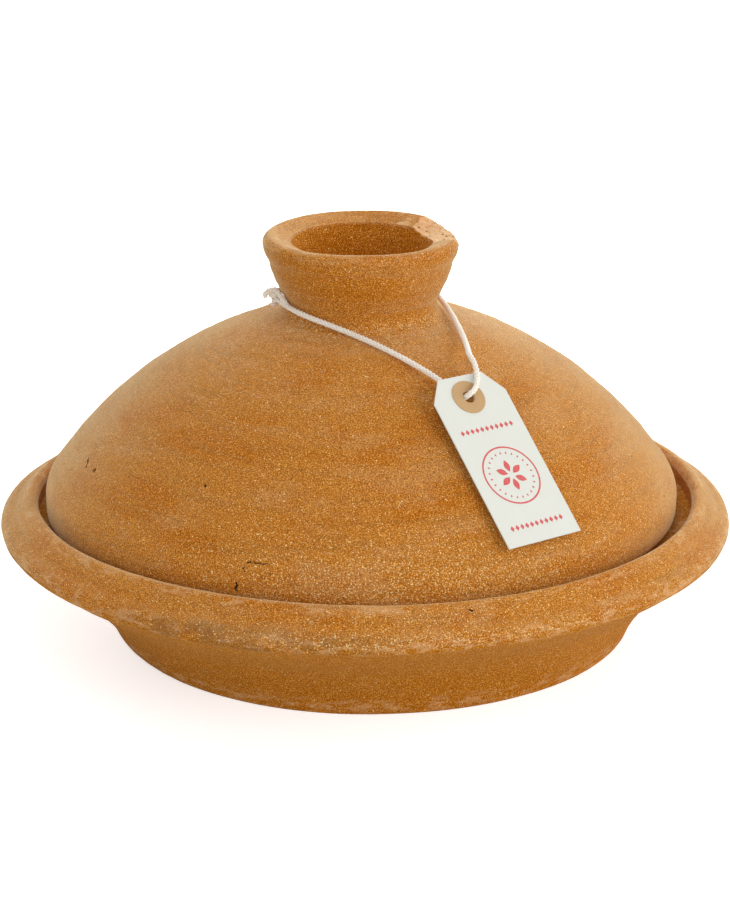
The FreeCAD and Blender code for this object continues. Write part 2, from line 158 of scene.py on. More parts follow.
def lid_outline():
    """Half of the lid's section as (radius, height), from the top of the hollow round to the cup."""
    shoulder = (LID_RADIUS - SHOULDER_RADIUS, SHOULDER_HEIGHT)
    to_shoulder = heading(DOME_CENTRE, shoulder)
    to_crown = heading(DOME_CENTRE, CROWN_CENTRE)
    to_neck = heading(DOME_CENTRE, NECK_CENTRE)
    inner = LID_RADIUS - LID_WALL
    edge = 3
    fillet_end = 158
    side_foot = on_arc(NECK_CENTRE, NECK_FILLET, fillet_end)
    side_top = -14
    opening_side = tangent_angle(LIP_CENTRE, LIP_ROUNDING, OPENING, -1)
    cup_side = tangent_angle(CUP_CENTRE, CUP_CORNER, OPENING, -1)
    points = line((0, HOLLOW_TOP), (CROWN_CENTRE[0], HOLLOW_TOP), 5)
    points += arc(CROWN_CENTRE, CROWN_ROUNDING, 90, to_crown, 5)
    points += arc(DOME_CENTRE, DOME_RADIUS - LID_WALL, to_crown, to_shoulder, 5)
    points += arc(shoulder, SHOULDER_RADIUS - LID_WALL, to_shoulder, 0, 2)
    points += line((inner, SHOULDER_HEIGHT), (inner, LID_BOTTOM), 3)
    points += line((inner, LID_BOTTOM), (LID_RADIUS - edge, LID_BOTTOM), 2)
    points += arc((LID_RADIUS - edge, LID_BOTTOM + edge), edge, -90, 0, 1)
    points += line((LID_RADIUS, LID_BOTTOM + edge), (LID_RADIUS, SHOULDER_HEIGHT), 1.4)
    points += arc(shoulder, SHOULDER_RADIUS, 0, to_shoulder, 1.4)
    points += arc(DOME_CENTRE, DOME_RADIUS, to_shoulder, to_neck, 1.5)
    points += arc(NECK_CENTRE, NECK_FILLET, to_neck + 180, fillet_end, 0.8)
    points += belly(side_foot, on_arc(LIP_CENTRE, LIP_ROUNDING, side_top), 0.6, 0.8)
    points += arc(LIP_CENTRE, LIP_ROUNDING, side_top, opening_side, 0.5)
    points += line(on_arc(LIP_CENTRE, LIP_ROUNDING, opening_side), OPENING, 0.5)
    points += line(OPENING, on_arc(CUP_CENTRE, CUP_CORNER, cup_side), 1.2)
    points += arc(CUP_CENTRE, CUP_CORNER, cup_side, -90, 1.5)
    points += line((CUP_CENTRE[0], CUP_FLOOR_HEIGHT), (0, CUP_FLOOR_HEIGHT), 4)
    return points + [(0, CUP_FLOOR_HEIGHT)]


def belly(start, end, bulge, step):
    """A slightly bowed line between two points, whose middle stands out by bulge."""
    ahead = np.subtract(end, start)
    outward = np.array([ahead[1], -ahead[0]]) / np.linalg.norm(ahead)
    count = round(np.linalg.norm(ahead) / step)
    shares = [i / count for i in range(count)]
    return [tuple(start + ahead * t + outward * bulge * 4 * t * (1 - t)) for t in shares]


def dish_outline():
    """Half of the dish's section, from the middle of the foot round to the middle of the floor."""
    foot_centre = (FOOT_RADIUS - FOOT_ROUNDING, FOOT_ROUNDING)
    foot_end = heading(foot_centre, WALL_CENTRE)
    wall_top = tangent_angle(WALL_CENTRE, WALL_RADIUS, RIM_EDGE, 1)
    edge_turn = heading(NOSE_CENTRE, RIM_EDGE)
    slope = 48.4
    ledge_end = 165
    inner_side = tangent_angle(BOWL_CENTRE, BOWL_CORNER, BOWL_TOP, -1)
    nose_end = on_arc(NOSE_CENTRE, NOSE_ROUNDING, slope)
    points = line((0, 0), (foot_centre[0], 0), 7)
    points += arc(foot_centre, FOOT_ROUNDING, -90, foot_end, 0.8)
    points += arc(WALL_CENTRE, WALL_RADIUS, foot_end + 180, wall_top, 1.3)
    points += line(on_arc(WALL_CENTRE, WALL_RADIUS, wall_top), RIM_EDGE, 0.9)
    points += arc(NOSE_CENTRE, NOSE_ROUNDING, edge_turn, slope, 0.7)
    points += line(nose_end, on_arc(CREST_CENTRE, CREST_ROUNDING, slope), 0.9)
    points += arc(CREST_CENTRE, CREST_ROUNDING, slope, 180, 0.6)
    points += line((GALLERY_RADIUS, CREST_CENTRE[1]), (GALLERY_RADIUS, GALLERY_HEIGHT), 1.2)
    points += line((GALLERY_RADIUS, GALLERY_HEIGHT), (LEDGE_EDGE_CENTRE[0], GALLERY_HEIGHT), 1.5)
    points += arc(LEDGE_EDGE_CENTRE, LEDGE_EDGE_ROUNDING, 90, ledge_end, 1)
    points += line(on_arc(LEDGE_EDGE_CENTRE, LEDGE_EDGE_ROUNDING, ledge_end),
                   on_arc(BOWL_CENTRE, BOWL_CORNER, inner_side), 2.5)
    points += arc(BOWL_CENTRE, BOWL_CORNER, inner_side, -90, 2.5)
    points += line((BOWL_CENTRE[0], FLOOR_THICKNESS), (0, FLOOR_THICKNESS), 6)
    return points + [(0, FLOOR_THICKNESS)]


# ---------------------------------------------------------------- hand-thrown surfaces
def ripple(values, wavelengths, seed):
    """A sum of sine waves with random phases, of about unit size."""
    rng = np.random.default_rng(seed)
    waves = [np.sin(values * 2 * math.pi / w + rng.uniform(0, 6.3)) for w in wavelengths]
    return sum(waves) / math.sqrt(len(wavelengths))


def turned(outline, columns):
    """The outline turned round the axis: points, outward normals, angles, and length along it."""
    rows = np.array(outline)
    ahead = np.gradient(rows, axis=0)
    ahead /= np.linalg.norm(ahead, axis=1)[:, None]
    along = np.concatenate([[0], np.cumsum(np.linalg.norm(np.diff(rows, axis=0), axis=1))])
    angle = np.arange(columns) * 2 * math.pi / columns
    inner = slice(1, len(rows) - 1)
    radius, height, run = (np.repeat(v[inner], columns) for v in (*rows.T, along))
    side, top = (np.repeat(v[inner], columns) for v in (ahead[:, 1], -ahead[:, 0]))
    angle = np.tile(angle, len(rows) - 2)
    points = np.stack([radius * np.cos(angle), radius * np.sin(angle), height], axis=1)
    normals = np.stack([side * np.cos(angle), side * np.sin(angle), top], axis=1)
    return points, normals, angle, run


def skin(rings, columns):
    """Faces of rings of points, closed by a pole at each end. The poles are the last two points."""
    first, last = rings * columns, rings * columns + 1
    faces = []
    for column in range(columns):
        following = (column + 1) % columns
        faces.append((first, following, column))
        for ring in range(rings - 1):
            low, high = ring * columns, (ring + 1) * columns
            faces.append((low + column, low + following, high + following, high + column))
        top = (rings - 1) * columns
        faces.append((last, top + column, top + following))
    return faces


CORNER_ANGLE = 42


def build(name, points, faces, material, smooth=True):
    """A mesh object from points in millimetres."""
    mesh = bpy.data.meshes.new(name)
    mesh.from_pydata((np.asarray(points) * MM).tolist(), [], faces)
    mesh.polygons.foreach_set("use_smooth", [smooth] * len(mesh.polygons))
    mesh.set_sharp_from_angle(angle=math.radians(CORNER_ANGLE))
    mesh.materials.append(material)
    mesh.update()
    piece = bpy.data.objects.new(name, mesh)
    bpy.context.scene.collection.objects.link(piece)
    return piece


def paint(piece, name, values, poles=(0, 0)):
    """Give each point of a turned piece, and its two poles, a number that its material reads."""
    attribute = piece.data.attributes.new(name, "FLOAT", "POINT")
    attribute.data.foreach_set("value", np.append(values, poles).astype(np.float32))


def grain(points, size, seed):
    """Smooth noise at each point, from -1 to 1."""
    offset = Vector((seed * 17.3, seed * 5.1, seed * 9.7))
    return np.array([noise.noise(Vector(p) / size + offset) for p in points])


def thrown(points, normals, angle, run, seed):
    """Move a turned surface the way a wheel and two hands leave it."""
    drift = run + 1.2 * np.sin(angle + seed)
    rings = 0.07 * ripple(drift, (3.1, 4.7, 7.9), seed) + 0.10 * ripple(drift, (17, 26), seed + 1)
    wobble = 0.22 * ripple(angle, [2 * math.pi / lobes for lobes in (2, 3, 5)], seed + 2)
    hands = 0.16 * grain(points, 22, seed) + 0.08 * grain(points, 7, seed + 1)
    return points + normals * (rings + wobble + hands)[:, None]


def near_angle(angle, middle, half):
    """How far inside a sector each angle is: 1 in its middle, 0 at its edges and past them."""
    away = np.abs((np.degrees(angle) - middle + 180) % 360 - 180)
    return np.clip(1 - away / half, 0, 1)


def smooth(values):
    """Values held between 0 and 1, with soft ends."""
    values = np.clip(values, 0, 1)
    return values * values * (3 - 2 * values)


def band(values, middle, half, fullness=1.0):
    """A soft band round a middle, 0 from half * fullness away."""
    return smooth(fullness - np.abs(values - middle) / half)


# ---------------------------------------------------------------- lid
LIP_TILT = 0.7
LID_COLUMNS = 420
KNOB_BOTTOM = 130
# Where the lip is broken: how high clay is left outside and inside the lip, by angle.
CHIP_ANGLES = [-20, -13, -7, -2, 8, 14, 20, 30, 37, 44, 52]
CHIP_OUTSIDE = [164, 159.6, 157.2, 156.1, 156.4, 156.9, 157.5, 158.1, 159.3, 161.0, 164]
CHIP_INSIDE = [164, 160.5, 158.2, 157.0, 156.9, 156.8, 156.8, 156.9, 157.6, 159.0, 162]


def turned_angle(angle):
    """Angles in degrees from -180 to 180."""
    return (np.degrees(angle) + 180) % 360 - 180


def break_lip(points, angle):
    """Break a piece out of the lip. Returns where it broke."""
    turn = turned_angle(angle)
    radius = np.hypot(points[:, 0], points[:, 1])
    outside = smooth((radius - OPENING[0]) / 9)
    outer = np.interp(turn, CHIP_ANGLES, CHIP_OUTSIDE, left=170, right=170)
    inner = np.interp(turn, CHIP_ANGLES, CHIP_INSIDE, left=170, right=170)
    rough = 0.5 + 0.9 * near_angle(angle, 38, 16)
    ragged = rough * (0.4 * grain(points, 3.1, 31) + 0.45 * grain(points, 1.3, 32))
    depth = np.maximum(points[:, 2] - inner - (outer - inner) * outside - ragged, 0)
    points[:, 2] -= depth
    worn_away = near_angle(angle, 1, 16) * smooth((points[:, 2] - 151) / 5) * outside
    points[:, :2] *= (1 - 0.3 * smooth(worn_away * 1.6) / LIP_CENTRE[0])[:, None]
    return smooth(depth / 0.5)


def tilt_lip(points):
    """The knob's lip leans forward by a degree."""
    lift = smooth((points[:, 2] - CUP_FLOOR_HEIGHT) / (OPENING[1] - CUP_FLOOR_HEIGHT))
    points[:, 2] += LIP_TILT * lift * points[:, 1] / LIP_CENTRE[0]


SHOULDER_TOP = 63.8


def on_dome(angle, height):
    """A point on the outside of the dome or its shoulder."""
    if height > SHOULDER_TOP:
        radius = DOME_CENTRE[0] + math.sqrt(DOME_RADIUS ** 2 - (height - DOME_CENTRE[1]) ** 2)
    else:
        drop = max(height - SHOULDER_HEIGHT, 0)
        radius = LID_RADIUS - SHOULDER_RADIUS + math.sqrt(SHOULDER_RADIUS ** 2 - drop ** 2)
    turn = math.radians(angle)
    return Vector((radius * math.cos(turn), radius * math.sin(turn), height))


# Drying cracks and grit holes: the line that each follows, its half width and its depth.
LID_MARKS = [
    ([on_dome(-110.8, 58.3), on_dome(-110.6, 57.0), on_dome(-110.9, 56.2), on_dome(-110.6, 55.0)], 0.45, 0.8),
    ([on_dome(-109.7, 63.9), on_dome(-109.9, 63.2), on_dome(-109.5, 62.3)], 0.36, 0.5),
    ([on_dome(-109.4, 65.3), on_dome(-108.4, 65.7)], 0.36, 0.5),
    ([on_dome(-108.0, 65.4), on_dome(-107.1, 65.6)], 0.32, 0.5),
    ([on_dome(-106.7, 65.3), on_dome(-105.9, 65.6)], 0.32, 0.5),
    ([on_dome(-160.2, 78.7), on_dome(-159.1, 77.7)], 0.5, 0.8),
    ([on_dome(-158.7, 77.0), on_dome(-158.2, 76.5)], 0.35, 0.6),
    ([on_dome(-154.9, 77.2), on_dome(-154.4, 78.1), on_dome(-154.1, 77.1)], 0.5, 0.9),
    ([on_dome(-122.8, 85.8), on_dome(-122.6, 85.5)], 0.6, 0.35),
    ([on_dome(40.0, 92.0), on_dome(41.4, 91.3)], 0.35, 0.6),
    ([on_dome(118.0, 70.5), on_dome(119.3, 71.6), on_dome(121.0, 71.2)], 0.25, 0.6),
    ([on_dome(171.0, 101.0), on_dome(171.5, 100.4)], 0.4, 0.6),
    ([Vector((11.8, 23.4, 152.4)), Vector((12.1, 23.3, 152.1))], 0.5, 0.8),
]


def distance_to(path, point):
    """How far a point is from a line of points."""
    best = math.inf
    for start, end in zip(path, path[1:]):
        ahead = end - start
        share = max(0.0, min(1.0, (point - start).dot(ahead) / ahead.length_squared))
        best = min(best, (point - start - ahead * share).length)
    return best


def carve(piece, marks):
    """Cut marks into a piece: finer faces near each one, then points pushed in."""
    form = bmesh.new()
    form.from_mesh(piece.data)
    cut = form.verts.layers.float.new("cut")
    for path, width, depth in marks:
        spots = [p * MM for p in path]
        middle = sum(spots, Vector()) / len(spots)
        reach = max((p - middle).length for p in spots) + 3 * MM
        for _ in range(3):
            close = [e for e in form.edges if (e.verts[0].co - middle).length < reach]
            bmesh.ops.subdivide_edges(form, edges=close, cuts=1, use_grid_fill=True)
            reach -= 0.6 * MM
        near = [v for v in form.verts if (v.co - middle).length < reach]
        form.normal_update()
        moves = []
        for vertex in near:
            away = distance_to(spots, vertex.co) / MM
            away += 0.25 * noise.noise(vertex.co / MM * 1.7)
            share = max(0.0, 1 - away / width)
            moves.append((vertex, vertex.normal * -depth * MM * min(1.0, share * 1.6), share))
        for vertex, move, share in moves:
            vertex.co += move
            vertex[cut] = max(vertex[cut], min(1.0, share * 2))
    form.to_mesh(piece.data)
    form.free()
    piece.data.polygons.foreach_set("use_smooth", [True] * len(piece.data.polygons))
    piece.data.set_sharp_from_angle(angle=math.radians(CORNER_ANGLE))


def shelter(piece, material):
    """Give faces that carry the full painted shade, where little dust settles, a material of their own."""
    piece.data.materials.append(material)
    painted_shade = piece.data.attributes["painted_shade"].data
    for face in piece.data.polygons:
        if min(painted_shade[corner].value for corner in face.vertices) > 0.9:
            face.material_index = 1


def ridge_knob(points, normals, side):
    """A soft ridge round the knob below its lip, and a groove under the ridge."""
    height = points[:, 2]
    relief = 0.25 * band(height, 154.6, 2, 1.3) - 0.3 * band(height, 151, 2, 1.3)
    points += normals * (relief * side)[:, None]


def paint_lid(piece, points, normals, angle, cup, broken):
    """Say where the lid is broken or scuffed, where it has painted glints and where it has painted shade."""
    height, facing_up = points[:, 2], normals[:, 2]
    lip = smooth((height - 156.5) / 2.5) * ~cup
    neck = band(height, 129.5, 5) * (facing_up > 0.2)
    # Painted glints: more mica specks low on the front of the dome, and on the neck's upper band.
    sparkle = near_angle(angle, -80, 58) * smooth((92 - height) / 40)
    inside = (facing_up < -0.1) & (height < HOLLOW_TOP + 1)
    knob = 0.45 * smooth((height - 132) / 8) * (facing_up < 0.1)
    beside_chip = 1.3 * smooth(near_angle(angle, 60, 22)) * smooth((height - 158) / 1.5)
    paint(piece, "broken", broken)
    paint(piece, "worn", 0.35 * lip + 0.2 * neck + beside_chip)
    paint(piece, "sparkle", np.where(inside, 0, smooth(sparkle)) + 0.9 * neck)
    paint(piece, "smoke", np.zeros(len(points)))
    # Painted shade: full in the cup and the lid's inside, and partly on the knob's sides.
    paint(piece, "painted_shade", np.where(cup | inside, 1.0, knob), poles=(0, 1))


def make_lid(material, sheltered_material):
    """The lid, from its outline to its paint and marks."""
    points, normals, angle, run = turned(lid_outline(), LID_COLUMNS)
    cup = (np.hypot(points[:, 0], points[:, 1]) < OPENING[0] - 0.05) & (points[:, 2] > KNOB_BOTTOM)
    side = (normals[:, 2] < 0.1) & ~cup
    points = thrown(points, normals, angle, run, seed=3)
    ridge_knob(points, normals, side)
    tilt_lip(points)
    broken = break_lip(points, angle)
    poles = [(0, 0, HOLLOW_TOP), (0, 0, CUP_FLOOR_HEIGHT)]
    rings = len(points) // LID_COLUMNS
    piece = build("lid_clay", np.vstack([points, poles]), skin(rings, LID_COLUMNS), material)
    paint_lid(piece, points, normals, angle, cup, broken)
    carve(piece, LID_MARKS)
    shelter(piece, sheltered_material)
    return piece


# ---------------------------------------------------------------- dish
DISH_COLUMNS = 480


RIM_SLOPE_START = (148.3, 47)
RIM_SLOPE = 1.128


def on_rim(angle, height):
    """A point on the sloping top of the rim."""
    turn = math.radians(angle)
    radius = RIM_SLOPE_START[0] - (height - RIM_SLOPE_START[1]) * RIM_SLOPE
    return Vector((radius * math.cos(turn), radius * math.sin(turn), height)) + RIM_SHIFT


DISH_MARKS = [
    ([on_rim(-74.3, 53.6), on_rim(-74.0, 53.3)], 0.7, 0.7),
    ([on_rim(62.0, 50.5), on_rim(63.5, 50.1)], 0.5, 0.6),
    ([on_rim(150.0, 51.5), on_rim(150.6, 50.7), on_rim(150.2, 50.0)], 0.45, 0.6),
]


def groove_rim(points, normals, flat, radial):
    """Swell the rim's nose, and press a shallow groove above it."""
    on_top = (radial > 138) & (normals[:, 2] > -0.2)
    relief = 0.5 * band(flat, 45.4, 2.6, 1.4) - 0.45 * band(flat, 50, 1.5, 1.2)
    points += normals * (relief * on_top)[:, None]


def set_down(points, normals, flat):
    """Flatten the foot, and move the foot and the rim off the axis by their own amounts."""
    standing = (flat < 0.01) & (normals[:, 2] < -0.9)
    points[standing, 2] = 0
    points[:, 2] = np.maximum(points[:, 2], 0)
    level = smooth(flat / RIM_EDGE[1])[:, None]
    points += np.array(FOOT_SHIFT) * (1 - level) + np.array(RIM_SHIFT) * level


def warp_rim(points, angle, flat, radial):
    """Lower the crest behind, most on the left, and lift the rim's edge a little on the left."""
    outside = radial > GALLERY_RADIUS - 2
    low_crest = 1.7 * smooth(near_angle(angle, 160, 48)) + 0.7 * smooth(near_angle(angle, 25, 40))
    points[:, 2] -= low_crest * smooth((flat - 44) / 8) * outside
    high_edge = 0.5 * smooth(near_angle(angle, -162, 48))
    points[:, 2] += high_edge * smooth((flat - 24) / 14) * smooth((47 - flat) / 4) * outside


def paint_dish(piece, normals, angle, flat, radial):
    """Say where the dish is scuffed or smoked, where it has painted glints and where it has painted shade."""
    facing_up = normals[:, 2]
    crest = band(flat, 54.6, 1.6) * (facing_up > -0.2)
    edge = band(flat, 42, 2.6)
    foot = band(flat, 4, 6) * (facing_up < 0.3)
    nose = band(flat, 45.2, 4.2) * (facing_up > -0.3)
    # Painted glints: more mica specks on the rim's top, most on its nose, and more again at the front.
    glint_band = 0.35 * (facing_up > 0.2) * smooth((flat - 44) / 4) + 0.9 * nose
    front = smooth(near_angle(angle, -78, 42))
    wall = (facing_up < 0.05) & (radial > 100)
    bowl = (facing_up > -0.1) & (radial < GALLERY_RADIUS + 0.5) & (flat < CREST_CENTRE[1])
    stain = near_angle(angle, -108, 26) * smooth((50.5 - flat) / 5) * smooth((flat - 39) / 3)
    paint(piece, "broken", np.zeros(len(flat)))
    paint(piece, "worn", 0.8 * crest + 0.6 * edge + 0.7 * foot + 0.8 * nose)
    paint(piece, "sparkle", glint_band * (0.2 + 0.8 * front))
    # Painted shade: full on the outer wall, under the rim, and in the gallery and bowl.
    paint(piece, "painted_shade", np.where(wall | bowl, 1.0, 0.0), poles=(1, 1))
    paint(piece, "smoke", smooth(stain * 1.5))


def make_dish(material, sheltered_material):
    """The dish, from its outline to its paint and marks."""
    points, normals, angle, run = turned(dish_outline(), DISH_COLUMNS)
    flat = points[:, 2].copy()
    radial = np.hypot(points[:, 0], points[:, 1])
    points = thrown(points, normals, angle, run, seed=8)
    groove_rim(points, normals, flat, radial)
    set_down(points, normals, flat)
    warp_rim(points, angle, flat, radial)
    poles = [tuple(FOOT_SHIFT), tuple(FOOT_SHIFT + Vector((0, 0, FLOOR_THICKNESS)))]
    rings = len(points) // DISH_COLUMNS
    piece = build("dish_clay", np.vstack([points, poles]), skin(rings, DISH_COLUMNS), material)
    paint_dish(piece, normals, angle, flat, radial)
    carve(piece, DISH_MARKS)
    shelter(piece, sheltered_material)
    return piece


# ---------------------------------------------------------------- twine
def route_points(name, route):
    """The line of a smooth curve whose control points are the route's, in metres."""
    curve = bpy.data.curves.new(name, "CURVE")
    curve.dimensions = "3D"
    curve.resolution_u = 24
    spline = curve.splines.new("NURBS")
    spline.points.add(len(route) - 1)
    for control, place in zip(spline.points, route):
        control.co = (*(Vector(place) * MM), 1)
    spline.order_u = 3
    spline.use_endpoint_u = True
    holder = bpy.data.objects.new(name, curve)
    mesh = bpy.data.meshes.new_from_object(holder)
    points = np.array([v.co for v in mesh.vertices])
    bpy.data.meshes.remove(mesh)
    bpy.data.curves.remove(curve)
    return points


def evened(points, step):
    """The same line with points an even step apart."""
    run = np.concatenate([[0], np.cumsum(np.linalg.norm(np.diff(points, axis=0), axis=1))])
    places = np.linspace(0, run[-1], max(3, round(run[-1] / step)))
    return np.stack([np.interp(places, run, points[:, k]) for k in range(3)], axis=1)


def carried_frames(points):
    """Two directions square to the line at each point, which turn with it and never spin round it."""
    ahead = np.gradient(points, axis=0)
    ahead /= np.linalg.norm(ahead, axis=1)[:, None]
    start = np.cross(ahead[0], (0.3, 0.5, 0.8))
    sides = [start / np.linalg.norm(start)]
    for direction in ahead[1:]:
        side = sides[-1] - direction * np.dot(sides[-1], direction)
        sides.append(side / np.linalg.norm(side))
    sides = np.array(sides)
    return sides, np.cross(ahead, sides)


def twist(points, count, radius, pitch):
    """Lines that wind round a line, evenly spaced. A negative pitch winds the other way."""
    side, other = carried_frames(points)
    run = np.concatenate([[0], np.cumsum(np.linalg.norm(np.diff(points, axis=0), axis=1))])
    lines = []
    for number in range(count):
        turn = 2 * math.pi * (run / pitch + number / count)
        lines.append(points + radius * (side * np.cos(turn)[:, None] + other * np.sin(turn)[:, None]))
    return lines


def tube(points, radii, sides):
    """Points and faces of a closed tube along a line, with a radius at each point."""
    side, other = carried_frames(points)
    angles = np.arange(sides) * 2 * math.pi / sides
    rings = [
        centre + radius * (np.outer(np.cos(angles), a) + np.outer(np.sin(angles), b))
        for centre, radius, a, b in zip(points, radii, side, other)
    ]
    corners = np.vstack([*rings, points[:1], points[-1:]])
    return corners, skin(len(points), sides)


def join_tubes(name, tubes, material):
    """One piece from many tubes whose points are in metres."""
    points, faces, start = [], [], 0
    for corners, tube_faces in tubes:
        points.append(corners)
        faces += [tuple(corner + start for corner in face) for face in tube_faces]
        start += len(corners)
    return build(name, np.vstack(points) / MM, faces, material)


PLY_OFFSET = 0.58 * MM
PLY_PITCH = 5.4 * MM
YARN_OFFSET = 0.26 * MM
YARN_PITCH = -3.9 * MM
YARN_RADIUS = 0.36 * MM


def strands(centre_line):
    """Twisted twine along a line: three plies of three yarns each, as tubes."""
    tubes = []
    for ply in twist(centre_line, 3, PLY_OFFSET, PLY_PITCH):
        for yarn in twist(ply, 3, YARN_OFFSET, YARN_PITCH):
            tubes.append(tube(yarn, [YARN_RADIUS] * len(yarn), 6))
    return tubes


def fibre(start, direction, length, radius, rng, curl=0.6):
    """A loose hair that starts one way and curls off another, as a thin tube."""
    direction = Vector(direction).normalized()
    bend = Vector([rng.uniform(-1, 1) for _ in range(3)]) * curl
    places = [Vector(start)]
    for _ in range(6):
        direction = (direction + bend * 0.25).normalized()
        places.append(places[-1] + direction * length / 6)
    radii = [radius * (1 - 0.1 * i) for i in range(len(places))]
    return tube(np.array(places), radii, 3)


def hairs(centre_line, count, rng):
    """Short loose fibres that stand off the twine, except towards the clay."""
    side, other = carried_frames(centre_line)
    ahead = np.gradient(centre_line, axis=0)
    found = []
    for _ in range(count):
        i = rng.randrange(4, len(centre_line) - 4)
        turn = rng.uniform(0, 2 * math.pi)
        out = Vector(side[i] * math.cos(turn) + other[i] * math.sin(turn))
        start = Vector(centre_line[i]) + out * 0.85 * MM
        lean = Vector(ahead[i]).normalized() * rng.choice((-1, 1)) * rng.uniform(0.8, 2.2)
        length = rng.uniform(0.5, 1.5) * MM
        hair = fibre(start, out + lean, length, rng.uniform(0.018, 0.035) * MM, rng)
        if out.dot(Vector((start.x, start.y, 0)).normalized()) > -0.3:
            found.append(hair)
    return found


TWINE_STEP = 0.35 * MM
KNOT_STEP = 0.3 * MM
KNOT_BEARING = 192
KNOT_OUT = 35.5
KNOT_HEIGHT = 137.1
KNOT_TILT = 25
KNOT_WRAP_RADIUS = 1.35
KNOT_WRAP_PITCH = 2.2


def knot_place():
    """The knot's own frame: X away from the pot, Z along the knot."""
    turn = Matrix.Rotation(math.radians(KNOT_BEARING), 4, "Z")
    out = Matrix.Translation((KNOT_OUT, 0, KNOT_HEIGHT))
    return turn @ out @ Matrix.Rotation(math.radians(KNOT_TILT), 4, "Y")


def knot_route():
    """Twine wrapped round itself: an end, the turns, and the other end."""
    upper_end = [(3.5, 1.2, 2.1), (3.5, 1.2, 2.7), (2.8, 1.1, 3.2), (1.7, 0.9, 3.1)]
    lower_end = [(1.5, -0.8, -3.1), (2.4, -1.0, -3.0), (3.1, -1.2, -3.2)]
    turns = 2.6
    steps = round(turns * 10)
    wraps = []
    for i in range(steps + 1):
        share = i / steps
        angle = 2 * math.pi * turns * share + 0.4
        swell = KNOT_WRAP_RADIUS * (0.85 + 0.25 * math.sin(math.pi * share))
        height = KNOT_WRAP_PITCH * turns * (0.5 - share) + 0.5 * math.sin(angle)
        wraps.append((swell * math.cos(angle), swell * math.sin(angle), height))
    place = knot_place()
    return [tuple(place @ Vector(p)) for p in upper_end + wraps + lower_end]


# The loop's own twine, where it rises beside the neck and runs into the knot, in millimetres.
KNOT_RISER = [
    (-29.8, -14.9, 134.8),
    (-30.6, -13.6, 136.2),
    (-32.1, -12.1, 138.0),
    (-34.0, -9.5, 139.9),
    (-35.2, -7.4, 139.4),
]


def frayed_end(points, backwards, count, rng):
    """Fibres that open out where the twine was cut."""
    tip = Vector(points[0] if backwards else points[-1])
    before = Vector(points[6] if backwards else points[-7])
    ahead = (tip - before).normalized()
    found = []
    for _ in range(count):
        spread = Vector([rng.uniform(-1, 1) for _ in range(3)])
        start = tip - ahead * 0.5 * MM + spread * 0.55 * MM
        length = rng.uniform(1.0, 2.4) * MM
        found.append(fibre(start, ahead + spread * 0.45, length, 0.07 * MM, rng, curl=0.9))
    return found


def make_twine(material, frayed_material):
    """The loop, its loose hairs, the knot and its frayed ends, and the line that the loop follows."""
    rng = random.Random(12)
    centre_line = evened(route_points("twine_route", TWINE_ROUTE), TWINE_STEP)
    twine = join_tubes("twine", strands(centre_line), material)
    fuzz = join_tubes("twine_fuzz", hairs(centre_line, 260, rng), material)
    knot_line = evened(route_points("knot_route", knot_route()), KNOT_STEP)
    riser_line = evened(route_points("knot_riser", KNOT_RISER), KNOT_STEP)
    knot_tubes = strands(knot_line) + strands(riser_line) + hairs(knot_line, 90, rng)
    knot = join_tubes("twine_knot", knot_tubes, material)
    ends = frayed_end(knot_line, True, 40, rng) + frayed_end(knot_line, False, 40, rng)
    frayed = join_tubes("twine_frayed_ends", ends, frayed_material)
    return twine, fuzz, knot, frayed, centre_line


# ---------------------------------------------------------------- printing on the card
CARD_ROLL = -0.9
CARD_THICKNESS = 0.5
CARD_MIDDLE = 0.9
INK_THICKNESS = 0.03
UPPER_ROW = -14.3
LOWER_ROW = -56.2
MOTIF_HEIGHT = -35.1
ROW_COUNT = 11
ROW_STEP = 2.36


def card_place():
    """The frame of the card's front: X across, Y up the card, Z out of it, from the eyelet."""
    swing = next(joint for joint in frame["joints"] if joint["name"] == "tag_swing")
    normal = Vector(swing["axis"]).normalized()
    across = Vector((0, 0, 1)).cross(normal).normalized()
    slope = normal.cross(across)
    turned_axes = Matrix((across, slope, normal)).transposed().to_4x4()
    eyelet = Vector(swing["pos_m"]) / MM + normal * CARD_THICKNESS
    return Matrix.Translation(eyelet) @ turned_axes @ Matrix.Rotation(math.radians(CARD_ROLL), 4, "Z")


def lozenge(across, up, width, height, turn=0.0):
    """The outline of a lozenge, turned in degrees about its middle."""
    spin = Matrix.Rotation(math.radians(turn), 2)
    corners = [(width / 2, 0), (0, height / 2), (-width / 2, 0), (0, -height / 2)]
    return [tuple(spin @ Vector(c) + Vector((across, up))) for c in corners]


def ring_band(across, up, radius, width, count=72):
    """A thin ring as small four-sided outlines."""
    cells = []
    for i in range(count):
        a, b = (2 * math.pi * k / count for k in (i, i + 1))
        inner, outer = radius - width / 2, radius + width / 2
        cells.append([
            (across + r * math.cos(t), up + r * math.sin(t))
            for r, t in ((inner, a), (outer, a), (outer, b), (inner, b))
        ])
    return cells


def petal_outline(across, up, reach, width, turn):
    """A leaf that points away from the motif's middle."""
    spin = Matrix.Rotation(math.radians(turn), 2)
    half = [(math.sin(math.pi * s) * width / 2, reach * (0.22 + 0.78 * s)) for s in np.linspace(0, 1, 9)]
    leaf = half + [(-x, y) for x, y in reversed(half[1:-1])]
    return [tuple(spin @ Vector(p) + Vector((across, up))) for p in leaf]


